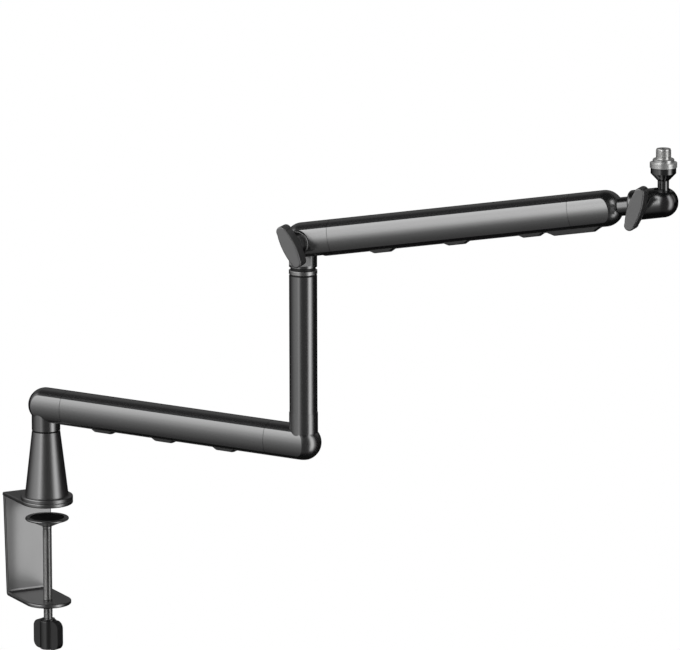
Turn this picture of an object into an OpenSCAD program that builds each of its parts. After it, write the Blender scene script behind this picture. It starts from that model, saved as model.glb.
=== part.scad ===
// Low desk boom arm for a microphone: a clamp and a tapered post, a level lower arm, an upright
// riser, a tilting upper arm and a ball head that ends in a microphone thread.
// The origin is on the post axis at the face of the upper jaw that rests on the desk.

/* [Clamp] */
// Width of the upper jaw, which is also the diameter of its round end
jaw_w = 57; // [52:1:66]
// Thickness of the upper jaw
jaw_t = 5; // [4.5:0.5:8]
// Width of the lower jaw, which is also the diameter of its round end
low_jaw_w = 51; // [40:1:52]
// Thickness of the lower jaw
low_jaw_t = 4.5; // [4:0.5:8]
// Thickness of the back wall
wall_t = 5; // [4.5:0.5:8]
// Distance from the post axis to the inner face of the back wall
throat = 48.5; // [34:0.5:60]
// Height between the two jaws
mouth_h = 108; // [95:1:150]
// Radius that rounds the long edges of the bracket
edge_r = 1.6; // [0.5:0.1:2]
// Diameter of the desk pad under the upper jaw
pad_d = 46; // [44:1:48]
// Thickness of the desk pad
pad_t = 1.2; // [0.6:0.1:1.6]

/* [Clamp screw] */
// Diameter of the clamp screw
screw_d = 10; // [8:0.5:12]
// Gap between the upper jaw and the pressure disc as drawn
grip_gap = 15.7; // [4:0.1:17]
// Diameter of the pressure disc
disc_d = 47.5; // [40:0.5:52]
// Height of the pressure disc
disc_h = 9.5; // [8:0.5:12]
// Diameter of the pad let into the pressure disc
disc_pad_d = 37.4; // [30:0.1:38]
// Distance from the upper jaw down to the top of the clamp knob
knob_drop = 131; // [130:1:180]
// Width of the clamp knob
clamp_knob_w = 35; // [28:1:44]
// Height of the clamp knob
clamp_knob_h = 32; // [26:1:40]
// Thickness of the clamp knob's wing
clamp_knob_t = 9; // [7:0.5:12]
// Diameter of the clamp knob's barrel
clamp_knob_barrel_d = 18.5; // [18:0.5:24]
// Direction of the clamp knob about the screw axis
clamp_knob_turn = -67; // [-180:1:180]

/* [Post] */
// Thickness of the flange on the upper jaw
flange_t = 4.5; // [3.5:0.5:8]
// Diameter at the foot of the tapered post
post_low_d = 47.5; // [46:0.5:50]
// Diameter at the top of the tapered post
post_top_d = 30.8; // [28:0.1:34]
// Height of the tapered post
post_h = 71; // [60:1:90]
// Diameter of the spindle that the lower arm turns on
spindle_d = 16; // [12:0.5:18]
// Height of the gap between the post and the neck
swivel_gap = 1.8; // [1.2:0.1:3]
// Diameter of the neck above the post
neck_d = 31; // [28:0.1:33]
// Height from the desk to the axis of the lower arm
lower_axis_z = 109.4; // [108.5:0.1:130]

/* [Arm section] */
// Height of the arm, which is also the diameter of its round ends
arm_d = 38; // [36:0.5:44]
// Width of the arm over its two side panels
arm_w = 34; // [33:0.5:36]
// Height of each side panel between its two edges
panel_h = 25.7; // [22:0.1:28]
// Wall of the arm tubes
tube_t = 2.2; // [1.5:0.1:3]
// Length of the spigot of each end piece inside its tube
spigot_l = 12; // [8:1:20]
// Width of the shadow line at each joint between a tube and an end piece
seam_w = 0.5; // [0.3:0.1:1]

/* [Lower arm] */
// Distance between the post axis and the riser axis
lower_l = 335; // [300:1:420]
// Direction of the lower arm about the post axis
lower_yaw = -60.5; // [-180:0.5:180]
// Length of the rear end piece from the post axis
lower_rear_l = 30; // [26:0.5:40]
// Length of the front end piece from the riser axis
lower_front_l = 41; // [26:0.5:50]

/* [Riser] */
// Height of the hinge above the axis of the lower arm
riser_h = 218; // [180:1:260]
// Outer diameter of the riser tube
riser_d = 29.7; // [29:0.1:31]
// Wall of the riser tube
riser_t = 2; // [1.5:0.1:2.5]
// Outer diameter of the riser foot
foot_d = 30.6; // [30:0.1:32]
// Height of the top of the riser foot above the lower arm's axis
foot_top = 32.6; // [28:0.1:45]
// Depth of the hinge below which the yoke's round base ends
yoke_drop = 28; // [27:0.1:34]
// Height of the bright ring at the top of the riser
ring_h = 4.4; // [3:0.1:6]
// Height of the dark groove between the bright ring and the yoke
groove_h = 3.4; // [2.5:0.1:5]
// Diameter of the spindle that the yoke turns on
yoke_pin_d = 14; // [10:0.5:16]

/* [Upper arm] */
// Distance between the hinge and the centre of the upper arm's front end
upper_l = 341; // [300:1:420]
// Direction of the upper arm about the riser axis
upper_yaw = -48.6; // [-180:0.1:180]
// Angle of the upper arm above level as drawn
upper_tilt = 9.7; // [-20:0.1:35]
// How far the upper arm tilts up from the drawn angle
tilt_up = 28; // [10:1:30]
// How far the upper arm tilts down from the drawn angle
tilt_down = 33; // [10:1:33]
// Length of the rear end piece from the hinge
upper_rear_l = 34.8; // [32:0.1:45]
// Length of the front end piece from the centre of the front end
upper_front_l = 36.5; // [30:0.1:50]
// Thickness of the yoke's tongue between the two cheeks of the arm
tongue_t = 17; // [14:0.5:18]
// Diameter of the hinge bolt
bolt_d = 8; // [6:0.5:10]
// Diameter of the bosses at the hinge
boss_d = 26.4; // [22:0.1:27]
// How far the bosses stand out from the side panels
boss_h = 2.3; // [1:0.1:4]

/* [Cable clips] */
// Length of each cable clip
clip_l = 28; // [20:1:36]
// Distance of the first lower clip from the post axis
lower_clip_x = 79.5; // [72:0.5:90]
// Distance from the last lower clip to the front end piece
lower_clip_end = 56.5; // [45:0.5:70]
// Distance of the first upper clip from the hinge
upper_clip_x = 89; // [80:0.5:100]
// Gap between the last upper clip and the guard
guard_gap = 3.5; // [2:0.5:10]
// How far the clips stand below the arm
clip_h = 2.6; // [2:0.1:5]
// Width of the clips across the arm
clip_w = 18; // [12:0.5:24]
// Length of the guard near the front of the upper arm
guard_l = 60; // [40:1:62]
// How far the guard stands below the arm
guard_h = 4; // [2:0.1:6]

/* [Knobs] */
// Length of the paddle knobs
knob_l = 47; // [40:1:56]
// Width of the paddle knobs at the middle
knob_w = 15.3; // [13:0.1:18]
// Depth of the paddle knobs
knob_t = 17; // [12:0.5:20]
// Radius of the round ends of the paddle knobs
knob_end_r = 5.6; // [5:0.1:6]
// Length of the elbow knob's hub between the boss and the paddle
hub_l = 5.3; // [4:0.1:12]
// Angle of the elbow knob in the plane of the arm
elbow_knob_turn = 108; // [0:0.5:180]
// Angle of the lock knob in the plane of the head
lock_knob_turn = 63; // [0:0.5:180]

/* [Ball head] */
// Diameter of the neck between the arm and the ball head
head_neck_d = 19.5; // [17:0.1:21]
// Distance from the centre of the arm's front end to the back of the ball housing
housing_x = 28.6; // [27:0.1:36]
// Diameter of the ball housing
housing_d = 31.6; // [31:0.1:36]
// Distance from the back of the ball housing to the centre of the ball
ball_x = 35.1; // [34.5:0.1:42]
// Diameter of the ball
ball_d = 22; // [20:0.1:22.4]
// Distance from the back of the ball housing to the lock knob's axis
lock_x = 14.2; // [13:0.1:17]
// How far the stem leans back from upright
stem_back = 8; // [2:1:10]
// How far the stem leans forward from upright
stem_forward = 75; // [30:1:80]
// Diameter of the stem
stem_d = 11.9; // [9:0.1:12.5]
// Height of the stem above the centre of the ball
stem_h = 22.8; // [21:0.1:36]
// Height of the bowl's cone
bowl_cone_h = 7.8; // [6:0.1:14]
// Height of the bowl's straight rim
bowl_rim_h = 5.6; // [4:0.1:10]
// Diameter of the bowl
bowl_d = 26.5; // [24:0.1:32]

/* [Microphone thread] */
// Diameter of the grooved flange
thread_flange_d = 28.3; // [26:0.1:34]
// Height of the grooved flange
thread_flange_h = 5.5; // [4:0.1:8]
// Diameter of the collar above the flange
collar_d = 22.3; // [18:0.1:24]
// Height of the collar
collar_h = 3.8; // [2:0.1:6]
// Diameter over the microphone thread
thread_d = 15.875; // [15:0.005:17]
// Length of the microphone thread
thread_l = 10.3; // [8:0.1:16]
// Diameter of the smaller thread inside the microphone thread
inner_thread_d = 9.525; // [9:0.005:10]

/* [Hidden] */
$fn = 96;

// Clearances: a seat that doesn't move, a shaft that turns in its bore, and two faces that pass
seat_c = 0.05;
run_c = 0.04;
face_c = 0.3;

// Finishes of the solids
dark = "#2e2e31";
darker = "#1f1f22";
steel = "#b9bcc0";
brass_c = "#b08d4c";
rubber_c = "#18181a";

// Clamp
wall_h = jaw_t + mouth_h + low_jaw_t;
back_y = throat + wall_t;
wall_taper = atan((jaw_w - low_jaw_w) / 2 / wall_h);
bend_top_r = 4;
bend_low_r = 7;
bend_in_r = 3;
disc_z = -grip_gap;
disc_rim_h = 2.6;
disc_pad_t = 1.4;
screw_tip_d = screw_d - 4;
disc_hub_d = screw_d + 3;
disc_floor = disc_pad_t + 1.6;
disc_edge_r = 1.2;
disc_lap = 0.6;
disc_pad_sunk = 0.5;
disc_tip_gap = 0.4;
clip_ring_t = 1;
clip_ring_w = 2.6;
ring_room = 0.4;
clamp_knob_hub_h = 4;
clamp_knob_neck_w = 2.5;
clamp_knob_neck_h = 1.5;
clamp_knob_corner_r = 8;
post_screw_n = 3;
post_screw_d = 4;
post_screw_head_d = 8;
post_screw_head_h = 2;
post_screw_depth = 12;

// Post
flange_z = jaw_t;
post_z = flange_z + flange_t;
post_top_z = post_z + post_h;
neck_z = post_top_z + swivel_gap;
seat_h = 7;
bush_t = 2;
bush_l = 14;
cavity_h = 9.5;
cavity_d = 25;
post_screw_r = (cavity_d / 2 + post_low_d / 2) / 2;
retainer_t = 2;
retainer_gap = 0.4;
retainer_z = post_z + cavity_h - retainer_gap;
spindle_room = 0.8;
washer_in = 2;
socket_depth = 4;
retainer_d = cavity_d - 2;
retainer_screw_d = 6;
retainer_head_d = 10;
retainer_head_h = 5;
retainer_screw_l = 14;
spindle_top = 6;

// Arm section: each side panel is a shallow arc through its two edges
arm_r = arm_d / 2;
panel_edge_w = sqrt(arm_r * arm_r - panel_h * panel_h / 4);
panel_rise = arm_w / 2 - panel_edge_w;
panel_r = (panel_h * panel_h / 4 + panel_rise * panel_rise) / (2 * panel_rise);

// Cable clips: the steps between them follow the arms' lengths
clip_n = 3;
lower_clip_last = lower_l - lower_front_l - lower_clip_end;
lower_clip_step = (lower_clip_last - lower_clip_x) / (clip_n - 1);
guard_x = upper_l - upper_front_l;
upper_clip_last = guard_x - guard_l / 2 - guard_gap - clip_l / 2;
upper_clip_step = (upper_clip_last - upper_clip_x) / (clip_n - 1);

// Riser
elbow_x = lower_l * cos(lower_yaw);
elbow_y = lower_l * sin(lower_yaw);
hinge_z = lower_axis_z + riser_h;
yoke_z = hinge_z - yoke_drop;
groove_z = yoke_z - groove_h;
ring_z = groove_z - ring_h;
tube_lip_h = 1.6;
riser_top_z = ring_z - tube_lip_h;
foot_z = lower_axis_z + seat_h;
foot_top_z = lower_axis_z + foot_top;
foot_spigot_l = 16;
riser_screw_d = 8;
riser_screw_head_d = 13;
riser_screw_head_h = 8;
riser_screw_seat = 8;
riser_screw_in = 7;
riser_head_room = 0.4;
riser_bush_l = 30;
bush_lip_in = 0.7;
ring_over = 0.2;
ring_edge_r = 0.6;
groove_in = 1.6;
yoke_pin_below = 8;
yoke_pin_in = 12;
yoke_base_h = 2.6;
keep_ring_t = 1.4;
keep_ring_w = 2.8;

// Hinge
tongue_r = riser_d / 2;
slot_w = tongue_t + 1;
slot_side = tongue_r + 0.35;
slot_r = slot_side + 0.2;
washer_gap = 0.3;
washer_t = 1;
washer_d = 24.4;
washer_out = tongue_t / 2 + washer_gap + washer_t;
boss_seat = 12;
boss_face = arm_w / 2 + boss_h;
bolt_head_d = 13;
bolt_head_h = 3;
head_room = 0.3;
cap_low = 0.6;
bolt_end = 1;
knob_hub_d = 18;
insert_d = 12;
insert_l = 16;

// Ball head
ball_r = ball_d / 2;
ball_cx = housing_x + ball_x;
housing_bore_r = ball_r + run_c;
neck_seat_x = 6;
neck_pin_d = 14;
neck_pin_x = -12.5;
neck_wall_x = -10;
neck_plug_l = 8;
neck_room = 4;
housing_edge_r = 3;
lock_screw_d = 8;
lock_tip_l = 3;
lock_tip_y = -lock_tip_l - 1;
lock_back_y = -housing_d / 2 - face_c;
knob_wall = 4;
lock_end_y = lock_back_y - knob_t + knob_wall;
seat_gap = 0.4;
seat_hold = 6.7;
seat_x = housing_x + lock_x + lock_screw_d / 2 + seat_gap;
seat_front = ball_cx - seat_hold;
stem_slot_w = stem_d + 0.8;
bowl_z = stem_h + bowl_cone_h;
bowl_top = bowl_z + bowl_rim_h;
flange_low = bowl_top + face_c;
collar_z = flange_low + thread_flange_h;
thread_z = collar_z + collar_h;
thread_top = thread_z + thread_l;
adapter_pin_d = 12;
adapter_pin_l = 10;

// The local frame of the lower arm: +X along the arm from the post axis
module in_lower() {
    translate([0, 0, lower_axis_z]) rotate([0, 0, lower_yaw]) children();
}

// The riser axis, in the part's own heights
module at_riser() {
    translate([elbow_x, elbow_y, 0]) children();
}

// The yoke's frame: the hinge is at its origin, with +X below the upper arm
module in_yoke() {
    translate([elbow_x, elbow_y, hinge_z]) rotate([0, 0, upper_yaw]) children();
}

// The upper arm's frame: +X along the arm from the hinge
module in_upper() {
    in_yoke() rotate([0, -upper_tilt, 0]) children();
}

// The head's frame: +X along the arm from the centre of its front end
module in_head() {
    in_upper() translate([upper_l, 0, 0]) children();
}

// The stud's frame: the ball's centre, with +Z along the stem
module in_stud() {
    in_head() translate([ball_cx, 0, 0]) rotate([0, upper_tilt, 0]) children();
}

// A cylinder along +X from x0 to x1
module bar_x(r, x0, x1) {
    translate([x0, 0, 0]) rotate([0, 90, 0]) cylinder(r = r, h = x1 - x0);
}

// A cylinder along Y from y0 to y1
module bar_y(r, y0, y1) {
    translate([0, y1, 0]) rotate([90, 0, 0]) cylinder(r = r, h = y1 - y0);
}

// A cylinder along Z from z0 to z1
module bar_z(r, z0, z1) {
    translate([0, 0, z0]) cylinder(r = r, h = z1 - z0);
}

// A rectangle with round corners, centred on X and standing on Y = 0
module soft_rect(w, h, r) {
    translate([r - w / 2, 0]) square([w - 2 * r, h]);
    translate([-w / 2, r]) square([w, h - 2 * r]);
    for (x = [r - w / 2, w / 2 - r], y = [r, h - r])
        translate([x, y]) circle(r = r);
}

// A disc with round edges, standing on Z = 0
module soft_disc(d, h, r) {
    rotate_extrude() {
        square([d / 2 - r, h]);
        translate([0, r]) square([d / 2, h - 2 * r]);
        for (y = [r, h - r])
            translate([d / 2 - r, y]) circle(r = r);
    }
}

// A jaw of the bracket: a round end about the post axis and a straight part to the back wall
module jaw_plate(w, t) {
    soft_disc(w, t, edge_r);
    rotate([90, 0, 0]) translate([0, 0, -back_y]) linear_extrude(back_y) soft_rect(w, t, edge_r);
}

// One side of the back wall, which leans in towards the lower jaw
module wall_side() {
    half_over = 0.8;
    over = 4;
    translate([jaw_w / 2, throat, jaw_t]) rotate([0, wall_taper, 0])
        translate([-jaw_w * half_over / 2, 0, -wall_h - over]) linear_extrude(wall_h + 2 * over)
            soft_rect(jaw_w * half_over, wall_t, edge_r);
}

// The bracket's outline from the side, with the two bends at the back
module side_outline() {
    low = jaw_t - wall_h;
    front = -jaw_w;
    translate([front, low]) square([back_y - bend_low_r - front, wall_h]);
    translate([front, low + bend_low_r])
        square([back_y - front, wall_h - bend_low_r - bend_top_r]);
    translate([front, low + bend_low_r])
        square([back_y - bend_top_r - front, wall_h - bend_low_r]);
    translate([back_y - bend_low_r, low + bend_low_r]) circle(r = bend_low_r);
    translate([back_y - bend_top_r, jaw_t - bend_top_r]) circle(r = bend_top_r);
}

// Fills the two inner corners between the jaws and the back wall
module bend_fillets() {
    rotate([90, 0, 90]) linear_extrude(low_jaw_w - 4 * edge_r, center = true)
        for (side = [0, 1])
            translate([throat, side == 0 ? 0 : -mouth_h]) mirror([0, side == 0 ? 1 : 0])
                difference() {
                    translate([-bend_in_r, 0]) square([bend_in_r, bend_in_r]);
                    translate([-bend_in_r, bend_in_r]) circle(r = bend_in_r);
                }
}

// Puts copies of a screw or its hole around the post axis
module at_post_screws() {
    for (i = [0 : post_screw_n - 1])
        rotate([0, 0, 90 + i * 360 / post_screw_n]) translate([post_screw_r, 0, 0]) children();
}

// A countersunk screw from the pad's recess into the post, grown all round by c
module post_screw_body(c) {
    bar_z(post_screw_d / 2 + c, pad_t, post_z + post_screw_depth + c);
    translate([0, 0, pad_t])
        cylinder(r1 = post_screw_head_d / 2 + c, r2 = post_screw_d / 2 + c, h = post_screw_head_h + c);
}

// Steel C-shaped bracket with two round-ended jaws
module clamp_bracket() {
    color(dark) difference() {
        intersection() {
            union() {
                jaw_plate(jaw_w, jaw_t);
                translate([0, 0, jaw_t - wall_h]) jaw_plate(low_jaw_w, low_jaw_t);
                wall_side();
                mirror([1, 0, 0]) wall_side();
                bend_fillets();
            }
            rotate([90, 0, 90]) linear_extrude(jaw_w + 2, center = true) side_outline();
        }
        bar_z(pad_d / 2 + seat_c, -1, pad_t);
        at_post_screws() post_screw_body(seat_c);
        bar_z(screw_d / 2 + run_c, jaw_t - wall_h - 1, low_jaw_t - mouth_h);
    }
}

// Rubber pad let into the underside of the upper jaw
module desk_pad() {
    color(rubber_c) bar_z(pad_d / 2, 0, pad_t);
}

// Round flange between the jaw and the post, with a soft upper edge
module base_flange() {
    lip_r = 1.8;
    color(dark) difference() {
        translate([0, 0, flange_z]) rotate_extrude() {
            square([jaw_w / 2 - lip_r, flange_t]);
            square([jaw_w / 2, flange_t - lip_r]);
            translate([jaw_w / 2 - lip_r, flange_t - lip_r]) circle(r = lip_r);
        }
        at_post_screws() post_screw_body(seat_c);
    }
}

// Tapered post with seats for its two bushes and a cavity for the spindle's retainer
module base_post() {
    bush_r = spindle_d / 2 + bush_t;
    color(dark) difference() {
        translate([0, 0, post_z])
            cylinder(r1 = post_low_d / 2, r2 = post_top_d / 2, h = post_h);
        bar_z(cavity_d / 2, post_z - 1, post_z + cavity_h);
        bar_z(bush_r + seat_c, post_z + cavity_h - 1, post_z + cavity_h + bush_l);
        bar_z(spindle_d / 2 + spindle_room, post_z, post_top_z + 1);
        bar_z(bush_r + seat_c, post_top_z - bush_l, post_top_z + 1);
        at_post_screws() post_screw_body(seat_c);
    }
}

// Two plain bushes that the base spindle turns in
module post_bushes() {
    color(brass_c)
        for (z = [post_z + cavity_h, post_top_z - bush_l])
            difference() {
                bar_z(spindle_d / 2 + bush_t, z, z + bush_l);
                bar_z(spindle_d / 2 + run_c, z - 1, z + bush_l + 1);
            }
}

// Countersunk screws that hold the post and its flange on the jaw
module post_screws() {
    color(steel) at_post_screws() post_screw_body(0);
}

// Dished pressure disc with a hub for the tip of the clamp screw
module pressure_disc() {
    rim_r = disc_d / 2;
    hub_z = disc_z - disc_h;
    color(dark) difference() {
        union() {
            translate([0, 0, disc_z]) mirror([0, 0, 1]) soft_disc(disc_d, disc_rim_h, disc_edge_r);
            translate([0, 0, hub_z])
                cylinder(r1 = disc_hub_d / 2, r2 = rim_r - disc_edge_r, h = disc_h - disc_rim_h + disc_lap);
        }
        bar_z(disc_pad_d / 2 + seat_c, disc_z - disc_pad_t, disc_z + 1);
        bar_z(screw_tip_d / 2 + clip_ring_w + ring_room, disc_z - disc_floor - clip_ring_t, disc_z);
        bar_z(screw_tip_d / 2 + run_c, hub_z - 1, disc_z);
    }
}

// Pad let into the top of the pressure disc
module disc_pad() {
    color(rubber_c) bar_z(disc_pad_d / 2, disc_z - disc_pad_t, disc_z - disc_pad_sunk);
}

// Clamp screw, with a turned tip that carries the pressure disc
module clamp_screw() {
    hub_z = disc_z - disc_h;
    color(steel) {
        bar_z(screw_d / 2, -knob_drop - clamp_knob_hub_h, hub_z - face_c);
        bar_z(screw_tip_d / 2, hub_z - face_c, disc_z - disc_pad_t - disc_tip_gap);
    }
}

// Ring that keeps the tip of the clamp screw in the pressure disc
module screw_clip() {
    low = disc_z - disc_floor - clip_ring_t + face_c;
    color(steel) difference() {
        bar_z(screw_tip_d / 2 + clip_ring_w, low, low + clip_ring_t);
        bar_z(screw_tip_d / 2 + seat_c, low - 1, low + clip_ring_t + 1);
    }
}

// Clamp knob: a wing with round corners through a round barrel, and a low hub on top
module clamp_knob() {
    low = -knob_drop - clamp_knob_h;
    lip_r = 1.2;
    color(darker) difference() {
        union() {
            rotate([0, 0, clamp_knob_turn]) rotate([90, 0, 0]) translate([0, low, 0])
                linear_extrude(clamp_knob_t, center = true)
                    soft_rect(clamp_knob_w, clamp_knob_h, clamp_knob_corner_r);
            translate([0, 0, low]) soft_disc(clamp_knob_barrel_d, clamp_knob_h, lip_r);
            bar_z(screw_d / 2 + clamp_knob_neck_w, -knob_drop - clamp_knob_hub_h,
                -knob_drop + clamp_knob_neck_h);
        }
        bar_z(screw_d / 2 + seat_c, -knob_drop - clamp_knob_hub_h, 0);
    }
}

// Dark washer in the gap between the post and the neck
module thrust_washer() {
    color(rubber_c) difference() {
        bar_z(neck_d / 2 - washer_in, post_top_z + face_c, neck_z);
        bar_z(spindle_d / 2 + seat_c, post_top_z, neck_z + 1);
    }
}

// Round neck that rises into the rear end of the lower arm
module base_neck() {
    color(dark) difference() {
        bar_z(neck_d / 2, neck_z, lower_axis_z - seat_h);
        bar_z(spindle_d / 2 + seat_c, neck_z - 1, lower_axis_z);
    }
}

// Steel spindle of the base swivel
module base_spindle() {
    color(steel) difference() {
        bar_z(spindle_d / 2, retainer_z, lower_axis_z + spindle_top);
        bar_z(retainer_screw_d / 2 + seat_c, retainer_z - 1, retainer_z + retainer_screw_l);
    }
}

// Washer under the lower bush
module retaining_washer() {
    color(steel) difference() {
        bar_z(retainer_d / 2, retainer_z - retainer_t, retainer_z);
        bar_z(retainer_screw_d / 2 + seat_c, retainer_z - retainer_t - 1, retainer_z + 1);
    }
}

// Screw that holds the retaining washer on the spindle
module retaining_screw() {
    socket_r = 2.9;
    head_z = retainer_z - retainer_t;
    color(steel) difference() {
        union() {
            bar_z(retainer_screw_d / 2, head_z, retainer_z + retainer_screw_l - 1);
            bar_z(retainer_head_d / 2, head_z - retainer_head_h, head_z);
        }
        translate([0, 0, head_z - retainer_head_h - 1])
            cylinder(r = socket_r, h = socket_depth, $fn = 6);
    }
}

// A straight stretch of the arm's section, set in by inset
module arm_bar(x0, x1, inset) {
    intersection() {
        bar_x(arm_r - inset, x0, x1);
        translate([0, arm_w / 2 - panel_r, 0]) bar_x(panel_r - inset, x0 - 1, x1 + 1);
        translate([0, panel_r - arm_w / 2, 0]) bar_x(panel_r - inset, x0 - 1, x1 + 1);
    }
}

// A stretch of the arm from a ball about x = 0 to x = l
module arm_ball_bar(l) {
    intersection() {
        rotate([0, 90, 0]) rotate_extrude() {
            intersection() {
                circle(r = arm_r);
                translate([0, -arm_r]) square([arm_r, arm_r]);
            }
            square([arm_r, l]);
        }
        translate([0, arm_w / 2 - panel_r, 0]) bar_x(panel_r, -arm_r - 1, l + 1);
        translate([0, panel_r - arm_w / 2, 0]) bar_x(panel_r, -arm_r - 1, l + 1);
    }
}

// An end piece with its ball at x = 0, its seam at x = l and a spigot for the tube
module end_piece(l) {
    arm_ball_bar(l - seam_w);
    arm_bar(l - seam_w, l, seam_w);
    arm_bar(l, l + spigot_l, tube_t + seat_c);
}

// An arm tube from x0 to x1
module arm_tube(x0, x1) {
    difference() {
        arm_bar(x0, x1, 0);
        arm_bar(x0 - 1, x1 + 1, tube_t);
    }
}

// A shallow cover under the arm, centred on x, with sloping ends
module under_cover(x, l, h, w) {
    slope = 2 * h;
    translate([x, 0, 0]) difference() {
        intersection() {
            union() {
                bar_x(arm_r + h, slope - l / 2, l / 2 - slope);
                translate([-l / 2, 0, 0]) rotate([0, 90, 0])
                    cylinder(r1 = arm_r, r2 = arm_r + h, h = slope);
                translate([l / 2 - slope, 0, 0]) rotate([0, 90, 0])
                    cylinder(r1 = arm_r + h, r2 = arm_r, h = slope);
            }
            translate([-l / 2, -w / 2, -2 * arm_r]) cube([l, w, 2 * arm_r]);
        }
        bar_x(arm_r, -l, l);
    }
}

// Rear end of the lower arm, seated over the neck
module lower_rear_end() {
    color(dark) in_lower() difference() {
        end_piece(lower_rear_l);
        bar_z(neck_d / 2 + seat_c, -2 * arm_r, -seat_h);
        bar_z(spindle_d / 2 + seat_c, -2 * arm_r, spindle_top);
    }
}

// Tube of the lower arm
module lower_arm_tube() {
    color(dark) in_lower() arm_tube(lower_rear_l, lower_l - lower_front_l);
}

// Front end of the lower arm, with a round seat for the riser foot
module lower_front_end() {
    color(dark) in_lower() translate([lower_l, 0, 0]) difference() {
        mirror([1, 0, 0]) end_piece(lower_front_l);
        bar_z(foot_d / 2 + seat_c, seat_h, 2 * arm_r);
        bar_z(riser_screw_d / 2 + seat_c, -2 * arm_r, 2 * arm_r);
        bar_z(riser_screw_head_d / 2 + riser_head_room, -2 * arm_r, -riser_screw_seat);
    }
}

// Cable clips under the lower arm
module lower_cable_clips() {
    color(darker) in_lower()
        for (i = [0 : clip_n - 1])
            under_cover(lower_clip_x + i * lower_clip_step, clip_l, clip_h, clip_w);
}

// Foot that plugs into the riser tube
module riser_foot() {
    color(dark) at_riser() difference() {
        union() {
            bar_z(foot_d / 2, foot_z, foot_top_z);
            bar_z(riser_d / 2 - riser_t - seat_c, foot_top_z, foot_top_z + foot_spigot_l);
        }
        bar_z(riser_screw_d / 2 + seat_c, foot_z - 1, foot_top_z + riser_screw_in + 1);
    }
}

// Screw that holds the riser foot down from under the arm
module riser_screw() {
    socket_r = 3.4;
    head_top = lower_axis_z - riser_screw_seat;
    color(steel) at_riser() difference() {
        union() {
            bar_z(riser_screw_d / 2, head_top, foot_top_z + riser_screw_in);
            bar_z(riser_screw_head_d / 2, head_top - riser_screw_head_h, head_top);
        }
        translate([0, 0, head_top - riser_screw_head_h - 1])
            cylinder(r = socket_r, h = socket_depth + 1, $fn = 6);
    }
}

// Upright tube between the two arms
module riser_tube() {
    color(dark) at_riser() difference() {
        bar_z(riser_d / 2, foot_top_z, riser_top_z);
        bar_z(riser_d / 2 - riser_t, foot_top_z - 1, riser_top_z + 1);
    }
}

// Bush in the top of the riser tube, with a thin dark lip
module riser_bush() {
    color(rubber_c) at_riser() difference() {
        union() {
            bar_z(riser_d / 2 - riser_t - seat_c, riser_top_z - riser_bush_l, riser_top_z);
            bar_z(riser_d / 2 - bush_lip_in, riser_top_z, ring_z);
        }
        bar_z(yoke_pin_d / 2 + run_c, riser_top_z - riser_bush_l - 1, ring_z + 1);
    }
}

// Bright ring at the top of the riser
module riser_ring() {
    color(steel) at_riser() difference() {
        translate([0, 0, ring_z]) soft_disc(riser_d + 2 * ring_over, ring_h, ring_edge_r);
        bar_z(yoke_pin_d / 2 + face_c, ring_z - 1, groove_z + 1);
    }
}

// Dark washer in the groove between the ring and the yoke
module groove_washer() {
    color(rubber_c) at_riser() difference() {
        bar_z(riser_d / 2 - groove_in, groove_z, yoke_z - face_c);
        bar_z(yoke_pin_d / 2 + face_c, groove_z - 1, yoke_z);
    }
}

// Yoke: a round base and a flat tongue with a round top
module yoke() {
    color(dark) in_yoke() difference() {
        union() {
            bar_z(tongue_r, -yoke_drop, yoke_base_h - yoke_drop);
            intersection() {
                union() {
                    bar_z(tongue_r, -yoke_drop, 0);
                    bar_y(tongue_r, -tongue_t, tongue_t);
                }
                translate([-tongue_r, -tongue_t / 2, -yoke_drop])
                    cube([2 * tongue_r, tongue_t, yoke_drop + tongue_r]);
            }
        }
        bar_y(bolt_d / 2 + run_c, -tongue_t, tongue_t);
        bar_z(yoke_pin_d / 2 + seat_c, -yoke_drop - 1, yoke_pin_in - yoke_drop);
    }
}

// Spindle that the yoke turns on in the riser
module yoke_spindle() {
    color(steel) at_riser()
        bar_z(yoke_pin_d / 2, riser_top_z - riser_bush_l - yoke_pin_below, yoke_z + yoke_pin_in);
}

// Ring that keeps the yoke's spindle in the riser
module yoke_clip() {
    high = riser_top_z - riser_bush_l - face_c;
    color(steel) at_riser() difference() {
        bar_z(yoke_pin_d / 2 + keep_ring_w, high - keep_ring_t, high);
        bar_z(yoke_pin_d / 2 + seat_c, high - keep_ring_t - 1, high + 1);
    }
}

// The space that the yoke's tongue sweeps as the arm tilts, seen along the hinge
module tongue_sweep() {
    far = 3 * arm_r;
    low_a = -90 - upper_tilt - tilt_up;
    high_a = -90 - upper_tilt + tilt_down;
    low_x = -slot_side * sin(-low_a);
    low_y = -slot_side * cos(low_a);
    high_x = slot_side * sin(-high_a);
    high_y = slot_side * cos(high_a);
    circle(r = slot_r);
    polygon([
        [high_x, high_y],
        [high_x + far * cos(high_a), high_y + far * sin(high_a)],
        [low_x + far * cos(low_a), low_y + far * sin(low_a)],
        [low_x, low_y]
    ]);
}

// Rear end of the upper arm: two cheeks that straddle the yoke's tongue
module upper_rear_end() {
    far = 2 * arm_r;
    color(dark) in_upper() difference() {
        end_piece(upper_rear_l);
        rotate([90, 0, 0]) linear_extrude(slot_w, center = true) tongue_sweep();
        bar_y(washer_d / 2 + seat_c, -washer_out, washer_out);
        bar_y(bolt_d / 2 + seat_c, -far, far);
        bar_y(boss_d / 2 + seat_c, boss_seat, far);
        bar_y(boss_d / 2 + seat_c, -far, -boss_seat);
    }
}

// Tube of the upper arm
module upper_arm_tube() {
    color(dark) in_upper() arm_tube(upper_rear_l, upper_l - upper_front_l);
}

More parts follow.
